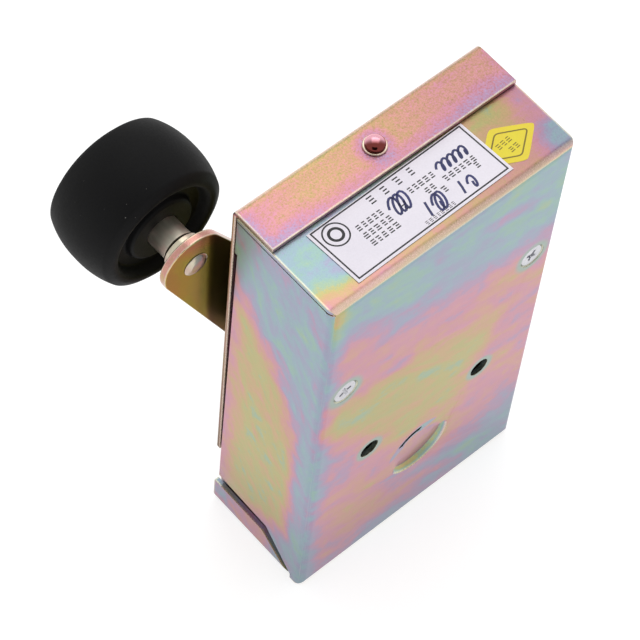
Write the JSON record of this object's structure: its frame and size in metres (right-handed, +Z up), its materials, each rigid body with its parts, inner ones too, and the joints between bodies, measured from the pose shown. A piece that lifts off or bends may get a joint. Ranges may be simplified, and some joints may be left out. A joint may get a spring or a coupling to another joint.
{
  "type": "lever limit switch",
  "caption": "Limit switch in a folded sheet-steel case, with a sprung side lever that carries a large rubber roller and works a contact through a cam inside.",
  "frame": {"origin": "midway between the two fixing holes, on the outer face of the front wall (the mounting face)", "axes": "-Y points out of the mounting face, +Z up the long side of the case towards the labelled end, +X to the right seen from the front; the lever and roller are behind the cover at +Y"},
  "size_m": [0.0874, 0.0647, 0.1205],
  "materials": {
    "passivated_steel": "sheet steel, iridescent yellow zinc passivation",
    "zinc_plated": "bright zinc plated",
    "plain_steel": "turned steel, lightly oiled",
    "spring_steel": "drawn spring wire",
    "brass": "turned and pressed brass",
    "contact_silver": "silver contact tip",
    "rubber": "moulded rubber, matt",
    "moulding_dark": "phenolic moulding, dark brown",
    "moulding_light": "nylon moulding, natural",
    "label_paper": "printed label, satin",
    "sticker_yellow": "yellow film sticker"
  },
  "bodies": {
    "case": {"bearing_plate": "zinc_plated", "block_screw_1": "zinc_plated", "block_screw_2": "zinc_plated", "carrier_nut_left": "zinc_plated", "carrier_nut_right": "zinc_plated", "carrier_plate": "zinc_plated", "carrier_screw_left": "zinc_plated", "carrier_screw_right": "zinc_plated", "contact_base": "moulding_dark", "earth_nut": "brass", "earth_stud": "brass", "earth_washer": "brass", "fixed_contact_lower": "brass", "fixed_contact_upper": "brass", "fixed_tip_lower": "contact_silver", "fixed_tip_upper": "contact_silver", "front_bush": "brass", "housing": "passivated_steel", "inspection_sticker": "sticker_yellow", "lid_cover": "passivated_steel", "lid_nut": "zinc_plated", "lid_screw": "zinc_plated", "lid_screw_washer": "zinc_plated", "pillar_1": "plain_steel", "pillar_2": "plain_steel", "pillar_3": "plain_steel", "pillar_4": "plain_steel", "pillar_screw_1": "zinc_plated", "pillar_screw_2": "zinc_plated", "pillar_screw_3": "zinc_plated", "pillar_screw_4": "zinc_plated", "plunger_spring": "spring_steel", "rating_label": "label_paper", "rear_bush": "brass", "return_spring": "spring_steel", "shaft_seal": "rubber", "stop_pin": "plain_steel", "terminal_clamp_lower": "zinc_plated", "terminal_clamp_upper": "zinc_plated", "terminal_screw_lower": "zinc_plated", "terminal_screw_upper": "zinc_plated"},
    "lever": {"lever_arm": "passivated_steel", "pivot_shaft": "plain_steel", "spacer_washer": "zinc_plated", "pivot_washer": "zinc_plated", "pivot_nut": "zinc_plated", "cam": "plain_steel", "cam_set_screw": "plain_steel", "roller_stud": "zinc_plated", "roller_washer": "zinc_plated", "roller_clip": "spring_steel"},
    "roller": {"roller_bush": "zinc_plated", "roller_tyre": "rubber"},
    "plunger": {"plunger": "moulding_light", "contact_bridge": "brass", "moving_tip_lower": "contact_silver", "moving_tip_upper": "contact_silver"}
  },
  "joints": [
    {"name": "lever_swing", "type": "hinge", "parent": "case", "child": "lever", "pos_m": [-0.01638, 0.0342, 0.01546], "axis": [0, 1, 0], "range_deg": [0, 35], "stiffness_Nm_per_rad": 0.12, "springref_deg": -28.65, "deforming": ["return_spring"]},
    {"name": "roller_spin", "type": "hinge", "parent": "lever", "child": "roller", "pos_m": [-0.0384, 0.0523, 0.0547], "axis": [0, 1, 0], "continuous": true},
    {"name": "plunger_slide", "type": "slide", "parent": "case", "child": "plunger", "axis": [1, 0, 0], "range_m": [0, 0.0026], "deforming": ["plunger_spring"]}
  ],
  "couplings": [
    {"joint": "plunger_slide", "follows": "lever_swing", "m_per_rad": 0.0040926}
  ]
}
